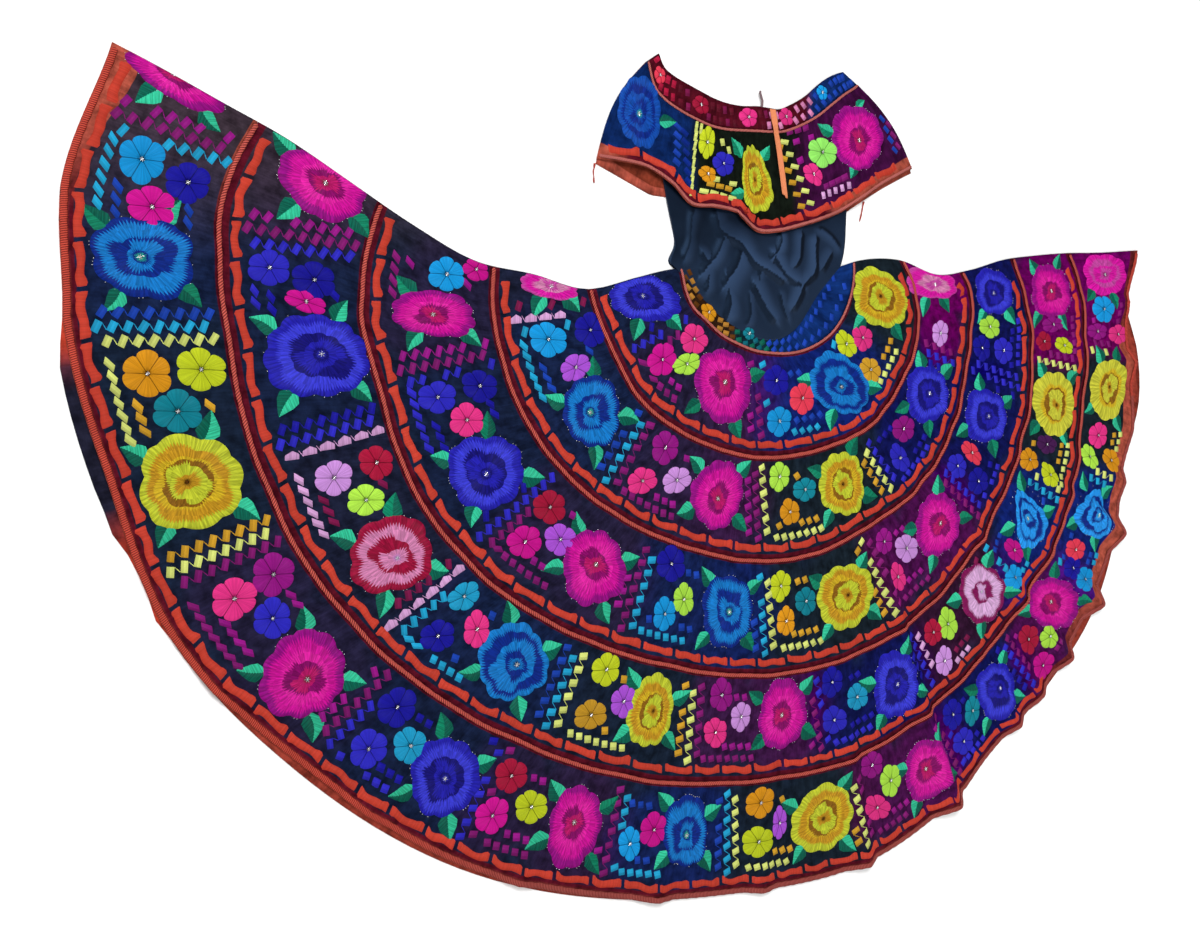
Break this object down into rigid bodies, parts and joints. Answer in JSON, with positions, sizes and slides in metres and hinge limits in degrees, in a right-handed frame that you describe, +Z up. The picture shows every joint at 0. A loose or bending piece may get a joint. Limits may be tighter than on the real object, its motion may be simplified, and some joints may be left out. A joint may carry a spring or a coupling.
{
  "type": "chiapaneca dress",
  "caption": "Off-shoulder dress with a tiered net skirt embroidered with flowers, laid flat and spread out in a fan, with a plain satin bodice and a flounce",
  "frame": {"origin": "bottom centre of the bounding box, on the surface that the dress lies on", "axes": "+Z up from that surface, out of the dress's front; +Y from hem to neckline; +X to the right of someone who looks at the front"},
  "size_m": [2.2717, 1.5289, 0.0255],
  "materials": {
    "embroidered_net": "fine dark net covered with glossy embroidery",
    "satin": "dark navy satin",
    "cord": "matt braided cord",
    "braid": "matt orange braid and thread",
    "ribbon": "satin ribbon",
    "tie": "matt cord"
  },
  "bodies": {
    "root": {"skirt_back_tier_1": "embroidered_net", "skirt_back_tier_2": "embroidered_net", "skirt_back_tier_3": "embroidered_net", "skirt_back_tier_4": "embroidered_net", "skirt_back_tier_5": "embroidered_net", "skirt_front_tier_1": "embroidered_net", "skirt_front_tier_2": "embroidered_net", "skirt_front_tier_3": "embroidered_net", "skirt_front_tier_4": "embroidered_net", "skirt_front_tier_5": "embroidered_net", "waistband_back": "embroidered_net", "waistband_front": "embroidered_net", "neckband_back": "embroidered_net", "neckband_front": "embroidered_net", "flounce_back": "embroidered_net", "flounce_front": "embroidered_net", "bodice_back": "satin", "bodice_front": "satin", "tier_cord_1": "cord", "tier_cord_2": "cord", "tier_cord_3": "cord", "tier_cord_4": "cord", "tier_cord_5": "braid", "waist_cord": "cord", "neck_cord": "cord", "flounce_cord": "cord", "ribbon_end": "ribbon", "neck_tie_end": "tie", "thread_left": "braid", "thread_right": "braid"}
  },
  "joints": []
}
